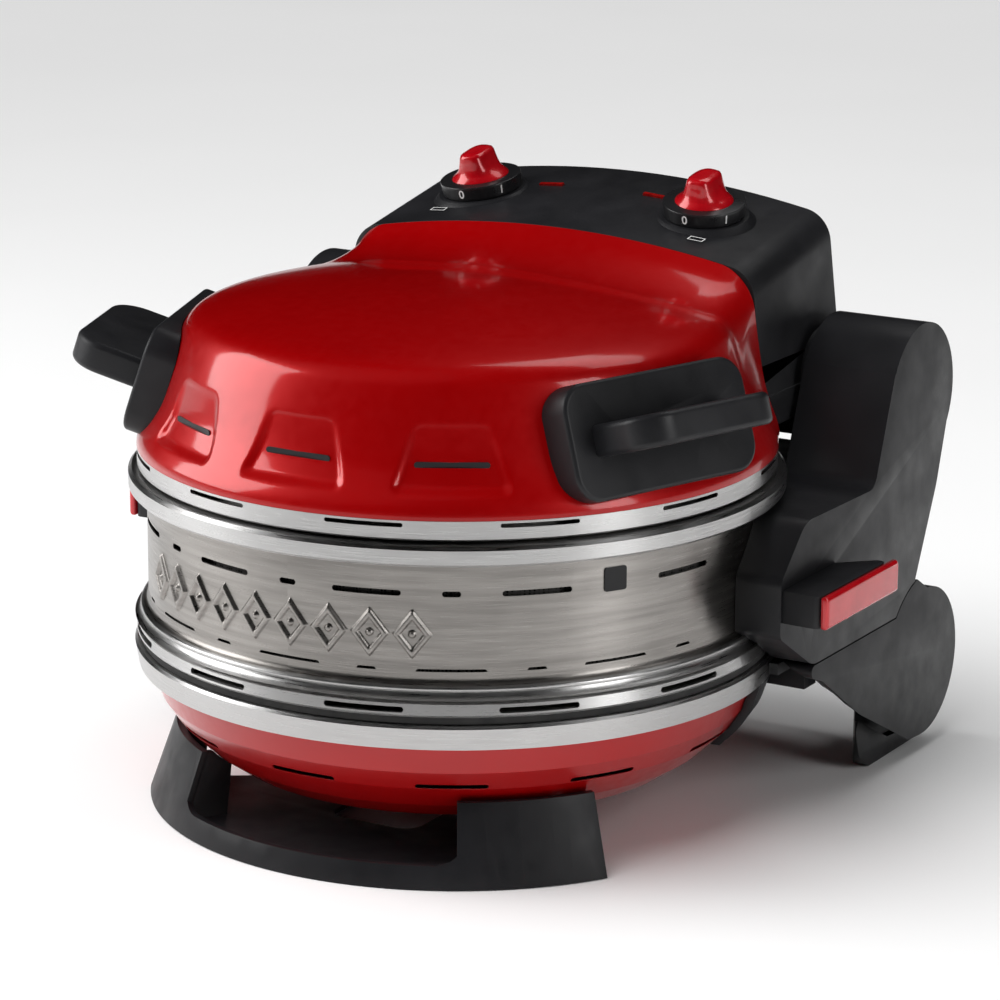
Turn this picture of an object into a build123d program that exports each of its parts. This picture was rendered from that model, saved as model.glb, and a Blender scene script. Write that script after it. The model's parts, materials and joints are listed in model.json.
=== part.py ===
from build123d import *
import math
import os

# Countertop pizza oven with two baking levels, in millimetres, +Z up, front towards -Y.
# A round base bowl stands on a stand and two rear feet. A middle ring is hinged to the base,
# and a domed lid with a control housing behind it is hinged to the middle ring's side arms.
# Everything is drawn about the round body's axis. On export it moves along Y, so that the
# origin is the middle of the footprint on the table. Angles run from the front, towards +X.

# ---------------------------------------------------------------- driving dimensions
# round body: radii and heights of its rims
BASE_RIM_R = 188.3
BASE_RIM_LOW_R = 186.2
BASE_RIM_Z = (83.5, 97.3)
FLANGE_Z = (101.8, 111.3)
FLANGE_R = 187.0
BAND_R = 180.0
BAND_Z = (121.0, 187.7)
TOP_RIM_R = 190.6
TOP_RIM_Z = (187.7, 199.0)
LID_RIM_R = 185.4
LID_RIM_Z = (201.0, 212.0)
SHEET = 1.0                 # steel sheet
PLASTIC = 3.0               # thin moulded wall
ARM_WALL = 4.0              # walls of the hollow arms and brackets
STONE_R = 160.0
STONE_THICK = 12.0
LOWER_STONE_Z = 70.2
UPPER_STONE_Z = 172.2

# hinges: both axes run along X
LOWER_AXIS = (200.0, 57.0)  # y, z of base to middle
UPPER_AXIS = (186.0, 226.0)  # y, z of middle to lid
PIN_R = 8.0
PIN_FIT = 0.08              # radial clearance where a part turns on a pin
PIN_SEAT = 0.02             # radial clearance where a pin is held
SIDE_X = 209.0              # outer face of the arms and brackets
ARM_X = 150.0               # inner face of the arms
LUG_X = (171.0, 188.5)      # the arm's hinge lug, between the bracket and the crossbar's end
BRACKET_X = 190.0           # inner face of the hinge bracket
CHEEK_X = (148.0, 170.0)    # the crossbar's ends, which carry the pins' inner ends
CHEEK_R = 26.0
EYE_R = 22.0                # lug's eye round the lower axis
BOSS_R = 16.0               # arm's boss round the upper pin
LOBE_R = 46.0               # bracket round the lower axis
SEAT_R = 56.0               # bracket's upper edge, concentric with the lower axis
SEAT_GAP = 1.0
UPPER_LOBE_R = 43.0
KNUCKLE_X = (112.0, 146.0)
KNUCKLE_R = 34.0

# lid and control housing
SEAM_Y = 105.0              # red lid in front, black housing behind
HOUSING_BACK_Y = 205.0
HOUSING_LOW_Z = 213.0
SEAM_TOP_Z = 319.0          # top of the housing at the seam, on the centre line
TOP_SLOPE = 10.3            # degrees, rising to the rear
COLLAR_SLOPE = 30.0         # degrees, falling to the front
CROWN_R = 638.0             # cross crown of the housing's top
CORNER_X = 135.5
FOOT_X = 146.0
CORNER_R = 20.0
KNOB_X = 76.5
KNOB_Y = 157.0
KNOB_LEAN = 4.4             # degrees outwards
DIAL_R = 25.0

# handles, levers, stand
HANDLE_ANGLE = 70.7         # degrees from the front
HANDLE_TILT = 18.0
HANDLE_FACE_R = 175.0       # outer face of the handle plate at its middle
HANDLE_FACE_Z = 251.5
HANDLE_SCREW = 28.0
LEVER_TIP_X = 238.0
STAND_HALF = 58.5           # degrees
WINDOW_HALF = 31.0
STAND_R = (181.0, 165.0)    # at the table and at the bowl
STAND_TOP = 46.0
FOOT_Z = 0.6                # mouldings end this far above the table, on rubber pads

# fittings
LOWER_ROD_Z = 58.0          # heating rod under the lower stone
LID_ROD_Z = 266.0           # heating rod in the lid
ROD_R = 110.0
ROD_LEG = ROD_R * math.sin(math.radians(13))
FOOT_SCREWS = ((186.0, 24.0), (214.0, 24.0))  # y, z
FOOT_SCREW_END = 203.0
FOOT_SIDE_X = (178.0, 195.0)
FOOT_MID_X = 186.5
PAD_R = 7.0                 # rubber pads
CROSSBAR_Y = (163.0, 205.0)
CROSSBAR_Z = (50.0, 92.0)
INLET = (28.0, 22.0)        # width and height of the socket's body
INLET_Z = 70.0
SHROUD_Y = (140.0, 200.0)
SHROUD_Z = (103.0, 186.0)
LEVER_SCREWS = ((25.0, 140.5), (55.0, 140.5))  # y, z
LEVER_CAP_X = 233.0
COVER_X = 100.0             # half width of the rear service cover
COVER_Z = (240.0, 300.0)
LAMP = (36.0, 171.0)
LAMP_SIZE = (16.0, 3.0)

REACH_FRONT = TOP_RIM_R
REACH_BACK = LOWER_AXIS[0] + LOBE_R
SHIFT_Y = (REACH_FRONT - REACH_BACK) / 2

SIDES = (("left", -1), ("right", 1))

os.makedirs("parts", exist_ok=True)


# ---------------------------------------------------------------- helpers
def save(name, shape):
    """Write one node, moved so that the origin is under the middle of the object."""
    solids = shape.solids()
    moved = Pos(0, SHIFT_Y, 0) * (solids[0] if len(solids) == 1 else Compound(solids))
    export_step(moved, f"parts/{name}.step")


def turned(profile, arc=360.0, middle=0.0):
    """Revolve (radius, z) points about Z. middle is in degrees from the front, towards +X."""
    face = Plane.XZ * make_face(Polyline(*profile, close=True).edges())
    solid = revolve(face, Axis.Z, arc)
    return Rot(0, 0, middle - 90 - arc / 2) * solid if arc < 360 else solid


def ring(outer, inner, low, high):
    """Plain ring between two radii and two heights."""
    return turned([(inner, low), (outer, low), (outer, high), (inner, high)])


def disc(radius, low, high):
    """Plain disc."""
    return Pos(0, 0, (low + high) / 2) * Cylinder(radius, high - low)


def block(low, high):
    """Box between two corners."""
    size = [b - a for a, b in zip(low, high)]
    centre = [(a + b) / 2 for a, b in zip(low, high)]
    return Pos(*centre) * Box(*size)


def side_plate(face, x_low, x_high):
    """Extrude a (y, z) face along +X between two stations."""
    return extrude(Plane(origin=(x_low, 0, 0), x_dir=(0, 1, 0), z_dir=(1, 0, 0)) * face,
                   x_high - x_low)


def rod_x(centre, radius, x_low, x_high):
    """Cylinder along X about a (y, z) centre."""
    return side_plate(Pos(*centre) * Circle(radius), x_low, x_high)


def outline(*corners):
    """Closed (y, z) outline from corners of (y, z, radius)."""
    points = [(y, z) for y, z, _ in corners]
    return make_face(FilletPolyline(*points, radius=[r for _, _, r in corners], close=True).edges())


def at_angle(angle, radius, z, tilt=0.0):
    """Plane facing outwards at an angle from the front; its local Y runs up the wall."""
    a = math.radians(angle)
    t = math.radians(tilt)
    out = (math.sin(a), -math.cos(a))
    return Plane(origin=(radius * out[0], radius * out[1], z),
                 x_dir=(math.cos(a), math.sin(a), 0),
                 z_dir=(out[0] * math.cos(t), out[1] * math.cos(t), math.sin(t)))


def slots(radius, z, angles, width, height, depth=12.0):
    """Round-ended slot cutters through a round wall; width is in degrees."""
    length = 2 * radius * math.sin(math.radians(width / 2))
    return [extrude(at_angle(a, radius, z) * SlotOverall(length, height), depth / 2, both=True)
            for a in angles]


def mirrored(shape, side):
    """The +X side's shape, or its mirror image on the -X side."""
    return shape if side > 0 else mirror(shape, Plane.YZ)


def element(z, radius, reach, tube=3.5, gap=13.0):
    """Heating rod: an open loop with two straight ends towards the rear."""
    start = math.radians(gap)
    foot = radius * math.sin(start), radius * math.cos(start)
    face = Plane.XZ * Pos(radius, z) * Circle(tube)
    loop = Rot(0, 0, 90 + gap) * revolve(face, Axis.Z, 360 - 2 * gap)
    for sign in (-1, 1):
        elbow = Pos(sign * foot[0], foot[1], z) * Sphere(tube)
        leg = Pos(sign * foot[0], (foot[1] + reach) / 2, z) * Rot(90, 0, 0)
        loop = loop + elbow + leg * Cylinder(tube, reach - foot[1])
    return loop


def clips(radius, low, high, angles=(-60, 60, 180)):
    """Small upright clips that carry a heating rod."""
    return Compound([at_angle(a, radius, (low + high) / 2) * Box(12, high - low, 3) for a in angles])


# ---------------------------------------------------------------- round profiles
BOWL = [(180.0, 83.4), (174.0, 66.0), (166.0, 54.0), (152.0, 40.0), (137.0, 29.5), (112.0, 21.0)]
BOWL_FLOOR = 15.0
LID_WALL = [(185.6, 212.2), (184.4, 218.0), (179.0, 226.0), (171.0, 239.0), (160.0, 275.0),
            (155.5, 284.0), (147.0, 289.5), (124.0, 294.5), (70.0, 301.0)]
LID_TOP = 305.0


def bowl_solid(grow=0.0):
    """The bowl filled in, grown outwards by a margin."""
    wall = [(r + grow, z) for r, z in BOWL]
    return turned([(0, BOWL_FLOOR - grow), (0, wall[0][1]), *wall])


def dome_solid(grow=0.0, low=None):
    """The lid's dome filled in, grown outwards by a margin."""
    wall = [(r + grow, z + grow * (z > 280)) for r, z in LID_WALL]
    skirt = [] if low is None else [(wall[0][0], low)]
    foot = wall[0][1] if low is None else low
    return turned([(0, foot), *skirt, *wall, (0, LID_TOP + grow)])


def middle_solid(grow):
    """Everything round in the middle ring and the base rim, grown by a margin."""
    return turned([(0, BASE_RIM_Z[0] - grow), (BASE_RIM_R + grow, BASE_RIM_Z[0] - grow),
                   (BASE_RIM_R + grow, FLANGE_Z[0]), (FLANGE_R + grow, FLANGE_Z[0]),
                   (FLANGE_R + grow, FLANGE_Z[1]), (BAND_R + grow, BAND_Z[0]),
                   (BAND_R + grow, BAND_Z[1] - grow), (TOP_RIM_R + grow, BAND_Z[1] - grow),
                   (TOP_RIM_R + grow, TOP_RIM_Z[1]), (0, TOP_RIM_Z[1])])


# ---------------------------------------------------------------- base
def bowl_shell():
    inner = [(r - SHEET, z) for r, z in BOWL]
    shell = bowl_solid() - turned([(0, BOWL_FLOOR + SHEET), (0, BOWL[0][1]), *inner[:-1],
                                   (BOWL[-1][0] - SHEET, BOWL[-1][1] + SHEET)])
    return shell - slots(166.5, 56.0, range(-90, 91, 30), 14.0, 3.0)


def bowl_liner():
    """Inner pan: hangs from the rim, with a ledge for the stone and a floor under the element."""
    outer = [(171.5, 95.6), (166.0, 69.5), (152.0, 69.5), (150.0, 52.0), (136.0, 43.0), (0, 43.0)]
    inner = [(0, 44.0), (135.6, 44.0), (149.0, 52.6), (151.0, 70.2), (165.0, 70.2), (170.5, 95.6)]
    pan = turned(outer + inner)
    return pan - [Pos(s * ROD_LEG, 150, LOWER_ROD_Z) * Rot(90, 0, 0) * Cylinder(5, 40) for s in (-1, 1)]


def base_rim():
    return turned([(BASE_RIM_LOW_R, BASE_RIM_Z[0]), (BASE_RIM_R, BASE_RIM_Z[1] - 1.5),
                   (BASE_RIM_R - 1.5, BASE_RIM_Z[1]), (168.0, BASE_RIM_Z[1]), (168.0, 95.8),
                   (BASE_RIM_R - 3.0, 95.8), (BASE_RIM_LOW_R - SHEET, BASE_RIM_Z[0] + 1.5),
                   (180.3, BASE_RIM_Z[0] + 1.5), (180.3, BASE_RIM_Z[0])])


def stand_front():
    """Curved front stand: a leaning wall with a wide window, a floor ledge and inner jambs."""
    low_r, top_r = STAND_R
    wall = turned([(low_r - 4, FOOT_Z), (low_r, FOOT_Z), (top_r, STAND_TOP), (top_r - 4, STAND_TOP)],
                  2 * STAND_HALF)
    ledge = turned([(62, 3), (low_r - 1.5, 3), (low_r - 2.5, 6), (62, 6)], 2 * STAND_HALF)
    jamb_face = [(150, 3), (low_r - 2, 3), (top_r - 1, STAND_TOP - 1), (150, 44), (146, 38)]
    stand = wall + ledge
    for angle in (-STAND_HALF + 1.2, -WINDOW_HALF - 1.2, WINDOW_HALF + 1.2, STAND_HALF - 1.2):
        stand = stand + turned(jamb_face, 2.0, angle)
    half_width = 170 * math.radians(WINDOW_HALF)
    window = extrude(at_angle(0, 130, 33.5) * RectangleRounded(2 * half_width, 41, 12), 80)
    sector = turned([(120, 0), (220, 0), (220, 60), (120, 60)], 2 * WINDOW_HALF)
    notch = Pos(0, -68, 4) * extrude(RectangleRounded(58, 60, 12), 8, both=True)
    stand = stand - (window & sector) - notch - bowl_solid(0.3)
    return stand - [Pos(*p, FOOT_Z) * Cylinder(PAD_R + 0.1, 5.0) for p in pad_places() if p[1] < 0]


def pad_places():
    """Centres of the rubber pads: four under the stand and one under each rear foot."""
    front = [(170 * math.sin(math.radians(a)), -170 * math.cos(math.radians(a)))
             for a in (-50, -17, 17, 50)]
    return front + [(-FOOT_MID_X, 205.0), (FOOT_MID_X, 205.0)]


def rubber_feet():
    return Compound([Pos(*p, 0) * Cylinder(PAD_R, 3, align=(Align.CENTER, Align.CENTER, Align.MIN))
                     for p in pad_places()])


def bracket_face():
    """Side outline of the hinge bracket, without its upper seat."""
    y, z = LOWER_AXIS
    lower = outline((28, 94.5, 4), (60, 82, 12), (111, 48, 0), (181, 12.5, 0), (196, 11.2, 0),
                    (244, 70, 0), (229, 87, 0), (190, 94.5, 0))
    lobe = Pos(y, z) * Circle(LOBE_R)
    seat = Pos(y, z) * Circle(SEAT_R) & outline((150, 60, 0), (236, 60, 0), (229, 87, 0),
                                                 (183.5, 114, 0), (150, 114, 0))
    return lower + lobe + seat


def hinge_bracket():
    """Outer bracket of the lower hinge, with a block in front that is fixed to the base rim."""
    plate = side_plate(bracket_face(), BRACKET_X, SIDE_X)
    lean = Plane(origin=(SIDE_X, 0, 0), x_dir=(0, 1, 0), z_dir=(1, 0, 0))
    low = outline((0, 94.5, 0), (60, 82, 12), (111, 48, 0), (181, 12.5, 0), (196, 11.2, 0), (280, 11.2, 0),
                  (280, 300, 0), (0, 300, 0))
    plate = plate & extrude(lean * low, 60, dir=(-1, 0, 0.5))
    fixing = block((172, 40, 88), (BRACKET_X, 90, 94.5)) + block((160, 75, 70), (BRACKET_X, 90, 94.5))
    skirt = turned([(r + 6, z) for r, z in BOWL[:4]] + [(BOWL[3][0] - 2, BOWL[3][1]), (BOWL[0][0] - 2, BOWL[0][1])],
                   36, 118)
    fixing = fixing + (skirt & block((0, 0, 44), (BRACKET_X, 150, BASE_RIM_Z[0] - 0.3))) - bowl_solid(0.3)
    hollow = side_plate(offset(bracket_face(), -ARM_WALL), BRACKET_X - 1, SIDE_X - ARM_WALL)
    hollow = hollow & block((BRACKET_X - 1, 95, 0), (SIDE_X, 150, 120))
    body = plate + fixing - hollow - disc(BASE_RIM_R + 0.3, BASE_RIM_Z[0] - 0.3, 120)
    body = body - rod_x(LOWER_AXIS, PIN_R + PIN_SEAT, 140, SIDE_X - 4)
    return body - [rod_x(p, 2.1, 180, FOOT_SCREW_END) for p in FOOT_SCREWS]


def rear_foot():
    """Narrow foot beside the bracket's inner face; its nose is cut back on the inside."""
    face = outline((141, 38, 0), (136.5, 27, 5), (142, 9, 12), (156, FOOT_Z, 4), (226, FOOT_Z, 10),
                   (232, 12, 6), (232, 38, 0))
    body = side_plate(face, FOOT_SIDE_X[0], FOOT_SIDE_X[1])
    nose = extrude(make_face(Polyline((FOOT_SIDE_X[1] - 0.5, 136), (FOOT_SIDE_X[0] - 1, 171),
                                      (FOOT_SIDE_X[0] - 1, 130), (FOOT_SIDE_X[1] - 0.5, 130), close=True).edges()), 60)
    body = body - nose - side_plate(offset(bracket_face(), 0.2), BRACKET_X - 0.2, SIDE_X)
    body = body - rod_x(LOWER_AXIS, EYE_R + 1.5, 170, BRACKET_X - 0.2)
    body = body - Pos(FOOT_MID_X, 205, FOOT_Z) * Cylinder(PAD_R + 0.1, 5.0)
    return body - [rod_x(p, 2.1, 170, 195) for p in FOOT_SCREWS]


def foot_screws():
    """Two screws along X fix each foot to its bracket."""
    screw = [rod_x(p, 2.0, FOOT_SIDE_X[0] - 2, FOOT_SCREW_END) + rod_x(p, 4.0, FOOT_SIDE_X[0] - 2.5, FOOT_SIDE_X[0] - 0.1)
             for p in FOOT_SCREWS]
    return Compound([mirrored(s, side) for _, side in SIDES for s in screw])


def rear_crossbar():
    """Box beam behind the bowl, open below; its ends carry the lower hinge pins."""
    low, high = CROSSBAR_Z
    front, back = CROSSBAR_Y
    half = CHEEK_X[1]
    beam = block((-half, front, low), (half, back, high))
    beam = beam - block((-CHEEK_X[0], front + 3, low - 3), (CHEEK_X[0], back - 3, high - 3))
    for _, side in SIDES:
        beam = beam + mirrored(rod_x(LOWER_AXIS, CHEEK_R, *CHEEK_X), side)
    for _, side in SIDES:
        beam = beam - mirrored(rod_x(LOWER_AXIS, PIN_R + PIN_SEAT, 140, 180), side)
    beam = beam - bowl_solid(0.3) - disc(BASE_RIM_R + 0.3, BASE_RIM_Z[0] - 0.3, 120)
    wide, tall = INLET
    return beam - block((-wide / 2 - 0.2, back - 10, INLET_Z - tall / 2 - 0.2),
                        (wide / 2 + 0.2, back + 5, INLET_Z + tall / 2 + 0.2))


def mains_inlet():
    """Appliance inlet: a socket body with a flange and three contact blades."""
    wide, tall = INLET
    back = CROSSBAR_Y[1]
    body = block((-wide / 2, back - 22, INLET_Z - tall / 2), (wide / 2, back, INLET_Z + tall / 2))
    flange = block((-wide / 2 - 3, back + 0.1, INLET_Z - tall / 2 - 3),
                   (wide / 2 + 3, back + 2, INLET_Z + tall / 2 + 3))
    socket = block((-wide / 2 + 2.5, back - 18, INLET_Z - tall / 2 + 2.5),
                   (wide / 2 - 2.5, back + 5, INLET_Z + tall / 2 - 2.5))
    joint = block((-wide / 2, back - 1, INLET_Z - tall / 2), (wide / 2, back + 1, INLET_Z + tall / 2))
    blades = [block((x - 1, back - 20, INLET_Z + z - 3), (x + 1, back - 4, INLET_Z + z + 3))
              for x, z in ((-7, -2), (0, 3), (7, -2))]
    return body + flange + joint - socket + blades


# ---------------------------------------------------------------- middle ring
LONG_TOP = (-75, -45, -15, 15, 45, 75)
SHORT_TOP = (-60, -30, 0, 30, 60)
LONG_LOW = (-60, -30, 0, 30, 60)
SHORT_LOW = (-75, -45, -15, 15, 45, 75)


def mid_band():
    """Slotted steel band with a rolled groove above the flange."""
    low, high = BAND_Z
    band = turned([(BAND_R - 2, 112.0), (BAND_R + 1, 113.0), (BAND_R + 2, 115.0), (BAND_R - 1.5, 117.5),
                   (BAND_R, low), (BAND_R, high), (BAND_R - SHEET, high), (BAND_R - SHEET, low),
                   (BAND_R - 3.5, 118.0), (BAND_R - 3.5, 112.0)])
    for angles, z, width in ((LONG_TOP, 170, 12.5), (SHORT_TOP, 170, 3.3),
                             (LONG_LOW, 126, 12.5), (SHORT_LOW, 126, 3.5)):
        band = band - slots(BAND_R - 1, z, angles, width, 3.2, 8)
    return band


def mid_flange():
    low, high = FLANGE_Z
    flange = turned([(FLANGE_R - 1.5, low), (FLANGE_R, low + 1.5), (FLANGE_R - 1, high - 2),
                     (FLANGE_R - 4, high), (172.0, high), (172.0, high - SHEET),
                     (FLANGE_R - 4.5, high - SHEET), (FLANGE_R - 3, high - 3.5),
                     (FLANGE_R - 3, low + SHEET), (172.0, low + SHEET), (172.0, low)])
    return flange - slots(FLANGE_R - 1.5, 106.0, range(-75, 76, 30), 14.0, 3.2, 8)


def mid_seal():
    """Heat-proof seal under the flange; it closes on the base rim."""
    return ring(185.0, 176.0, BASE_RIM_Z[1] + 0.6, FLANGE_Z[0] - 0.1)


def mid_top_rim():
    low, high = TOP_RIM_Z
    return turned([(BAND_R + 0.1, low), (TOP_RIM_R - 1.5, low), (TOP_RIM_R, low + 1.5),
                   (TOP_RIM_R, high - 2), (TOP_RIM_R - 2, high), (170.5, high), (170.5, high - SHEET),
                   (TOP_RIM_R - 3, high - SHEET), (TOP_RIM_R - SHEET, high - 3),
                   (TOP_RIM_R - SHEET, low + SHEET), (BAND_R + 0.1, low + SHEET)])


def mid_mesh():
    """Perforated screen behind the band's slots."""
    return ring(174.5, 173.5, 112.0, 186.0)


def upper_tray():
    """Pan under the upper stone: lip, wall, ledge and floor."""
    outer = [(173.4, 197.3), (173.4, 196.3), (171.3, 196.3), (167.0, 171.2), (152.0, 171.2),
             (150.0, 155.0), (0, 155.0)]
    inner = [(0, 156.0), (149.0, 156.0), (151.0, 172.2), (166.0, 172.2), (170.3, 197.3)]
    return turned(outer + inner)


def ceiling_plate():
    """Reflector over the lower chamber."""
    return turned([(0, 148.0), (150.0, 148.0), (165.0, 140.0), (170.0, 113.0), (171.0, 113.0),
                   (166.0, 141.0), (150.5, 149.0), (0, 149.0)])


def rear_shroud():
    """Cross cover behind the ring, from arm to arm; it hides the wiring between the hinges."""
    low, high = SHROUD_Z
    front, back = SHROUD_Y
    half = ARM_X - 0.2
    cover = block((-half, front, low), (half, back, high))
    cover = fillet(cover.edges().filter_by(Axis.X).group_by(Axis.Y)[-1], 12)
    hollow = block((-half + 3, front - 1, low - 3), (half - 3, back - 3, high - 3))
    return cover - hollow - middle_solid(0.3)


def arm_face():
    """Side outline of the arm, from its front end to the upper hinge lobe."""
    lobe = Pos(*UPPER_AXIS) * Circle(UPPER_LOBE_R)
    body = outline((3.5, 122, 6), (3.5, 155, 10), (33, 183.5, 20), (123, 182.3, 10), (147, 246, 0),
                   (186, 230, 0), (228.4, 222, 0), (210, 166, 40), (183.5, 112, 0), (185, 95.5, 0),
                   (46, 95.5, 22))
    return body + lobe


def lug_face():
    """Hinge lug: an eye round the lower axis and a strap up into the arm."""
    y, z = LOWER_AXIS
    eye = Pos(y, z) * Circle(EYE_R)
    strap = outline((180.0, 48.0, 0), (214, 74, 0), (190, 124, 0), (156, 124, 0))
    return eye + strap


def arm():
    clearance = rod_x(LOWER_AXIS, SEAT_R + SEAT_GAP, ARM_X - 1, SIDE_X + 1)
    seat_wall = rod_x(LOWER_AXIS, SEAT_R + SEAT_GAP + ARM_WALL, ARM_X - 1, SIDE_X + 1)
    lug = side_plate(lug_face(), *LUG_X)
    rib = side_plate(lug_face(), LUG_X[0], SIDE_X - 1) - clearance
    hollow = side_plate(offset(arm_face(), -ARM_WALL), ARM_X - 1, SIDE_X - ARM_WALL)
    hollow = hollow - rod_x(UPPER_AXIS, BOSS_R, ARM_X, SIDE_X) - seat_wall - rib
    body = side_plate(arm_face(), ARM_X, SIDE_X) - middle_solid(0.3) - clearance - hollow
    body = body + lug
    body = body - rod_x(LOWER_AXIS, PIN_R + PIN_FIT, 140, 220)
    body = body - rod_x(UPPER_AXIS, PIN_R + PIN_SEAT, 140, SIDE_X - 8)
    return body - [rod_x(p, 2.1, 185, SIDE_X + 1) for p in LEVER_SCREWS]


def lever():
    """Side grip on the arm; its rear edge slants outwards and to the rear."""
    face = make_face(FilletPolyline((SIDE_X + 0.1, 5), (LEVER_CAP_X, 4), (LEVER_CAP_X, 95.5),
                                    (SIDE_X + 0.1, 73), radius=[0, 4, 4, 0], close=True).edges())
    body = extrude(Pos(0, 0, 131) * face, 19)
    return body - [rod_x(p, 2.1, 200, 225) for p in LEVER_SCREWS]


def lever_cap():
    """Red end cap of the side grip."""
    body = block((LEVER_CAP_X + 0.1, 4, 131), (LEVER_TIP_X, 97.5, 150))
    return fillet(body.edges().group_by(Axis.X)[-1], 2.5)


def lever_screws():
    return Compound([mirrored(rod_x(p, 2.0, SIDE_X - 8, 224), side) for _, side in SIDES for p in LEVER_SCREWS])


# ---------------------------------------------------------------- lid
def housing_section(inset=0.0):
    """Cross-section of the housing and the lid's collar at the seam, as an XZ face."""
    drop = CROWN_R - math.sqrt(CROWN_R ** 2 - CORNER_X ** 2)
    x_top, x_low = CORNER_X - inset, FOOT_X - inset
    top = SEAM_TOP_Z - inset
    low = HOUSING_LOW_Z + inset
    edges = [Line((x_top, top - drop), (x_low, low)), Line((x_low, low), (-x_low, low)),
             Line((-x_low, low), (-x_top, top - drop)),
             ThreePointArc((-x_top, top - drop), (0, top), (x_top, top - drop))]
    face = make_face(edges)
    corners = face.vertices().sort_by(Axis.Y)[-2:]
    return fillet(corners, CORNER_R - inset)


def along_y(face, start, length, slope):
    """Extrude an XZ face from a Y station; the slope lifts it as it goes."""
    rise = math.radians(slope)
    plane = Plane(origin=(0, start, 0), x_dir=(1, 0, 0), z_dir=(0, -1, 0))
    direction = (0, math.copysign(math.cos(rise), length), math.sin(rise) * (1 if length > 0 else -1))
    return extrude(plane * face, abs(length) / math.cos(rise), dir=direction)


def collar_solid(inset=0.0):
    """The lid's raised collar in front of the seam, filled in."""
    face = housing_section(inset)
    solid = along_y(face, SEAM_Y + inset, -70, COLLAR_SLOPE)
    return solid & block((-170, 20, 240), (170, SEAM_Y + inset, 330))


def lid_shell():
    inner = dome_solid(-SHEET)
    shell = (dome_solid() + collar_solid()) - inner - collar_solid(SHEET)
    shell = shell - slots(170, 239.0, (-30, 0, 30), 13.5, 3.0, 16)
    return shell - handle_screw_rods(2.1)


def lid_rim():
    low, high = LID_RIM_Z
    rim = turned([(172.0, low), (LID_RIM_R - 1, low), (LID_RIM_R, low + 1), (LID_RIM_R, high),
                  (LID_RIM_R - SHEET, high), (LID_RIM_R - SHEET, low + SHEET), (172.0, low + SHEET)])
    return rim - slots(LID_RIM_R - 0.5, 209.5, range(-165, 166, 30), 13.7, 2.4, 6)


def lid_liner():
    """Inner reflector of the upper chamber."""
    outer = [(171.9, 201.1), (168.0, 238.0), (152.0, 272.0), (120.0, 284.0), (0, 288.0)]
    inner = [(0, 287.0), (119.5, 283.0), (151.2, 271.3), (167.0, 237.8), (170.9, 201.1)]
    liner = turned(outer + inner)
    return liner - [Pos(s * ROD_LEG, 160, LID_ROD_Z) * Rot(90, 0, 0) * Cylinder(5, 40) for s in (-1, 1)]


def handle_frame():
    """Middle of the handle plate's outer face."""
    return at_angle(HANDLE_ANGLE, HANDLE_FACE_R, HANDLE_FACE_Z, HANDLE_TILT)


def handle_plate():
    plate = extrude(handle_frame() * RectangleRounded(132, 65, 16), -30)
    plate = plate - dome_solid(0.3, 205)
    outer = plate.faces().sort_by(Axis(handle_frame().origin, handle_frame().z_dir))[-1]
    plate = fillet(outer.edges(), 2.5)
    return plate - handle_screw_rods(2.1)


def handle_grip():
    """Grip standing off the plate, hollow below for the fingers."""
    face = make_face(FilletPolyline((-50, 0), (-50, 46), (50, 46), (50, 0), radius=[0, 20, 20, 0],
                                    close=True).edges())
    across = Plane(origin=(0, 9, 0), x_dir=(1, 0, 0), z_dir=(0, -1, 0))
    solid = extrude(across * face, 18)
    solid = fillet(solid.edges().filter_by(Plane.XZ).filter_by(
        lambda e: e.center().Z > 1), 3.5)
    pocket = extrude(Plane(origin=(0, 6, 0), x_dir=(1, 0, 0), z_dir=(0, -1, 0))
                     * Pos(0, 24) * RectangleRounded(84, 34, 12), 16)
    grip = handle_frame().location * Pos(0, 0, 0.15) * (solid - pocket)
    return grip - handle_screw_rods(2.1)


def handle_screw_rods(radius):
    """Two rods through the shell and the plate into each grip."""
    rods = []
    for _, side in SIDES:
        for x in (-30, 30):
            rod = handle_frame().location * Pos(x, 3, 1) * Cylinder(radius, HANDLE_SCREW)
            rods.append(mirrored(rod, side))
    return Compound(rods)


def handle_screws():
    return handle_screw_rods(2.0)


def top_plane(x, y):
    """Plane on the housing's top, facing along the knob's axis."""
    crown = CROWN_R - math.sqrt(CROWN_R ** 2 - x ** 2)
    z = SEAM_TOP_Z - crown + (y - SEAM_Y) * math.tan(math.radians(TOP_SLOPE))
    lean = math.radians(math.copysign(KNOB_LEAN, x)) if x else 0.0
    slope = math.radians(TOP_SLOPE)
    return Plane(origin=(x, y, z), x_dir=(math.cos(lean), 0, -math.sin(lean)),
                 z_dir=(math.sin(lean), -math.sin(slope) * math.cos(lean), math.cos(slope) * math.cos(lean)))


def housing_outer():
    """The control housing filled in."""
    length = HOUSING_BACK_Y - SEAM_Y
    outer = along_y(housing_section(), SEAM_Y + 0.5, length - 0.5, TOP_SLOPE)
    outer = outer & block((-170, SEAM_Y, HOUSING_LOW_Z), (170, HOUSING_BACK_Y, 360))
    return outer + block((-FOOT_X, SEAM_Y + 0.5, HOUSING_LOW_Z), (FOOT_X, HOUSING_BACK_Y, 232))


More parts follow.
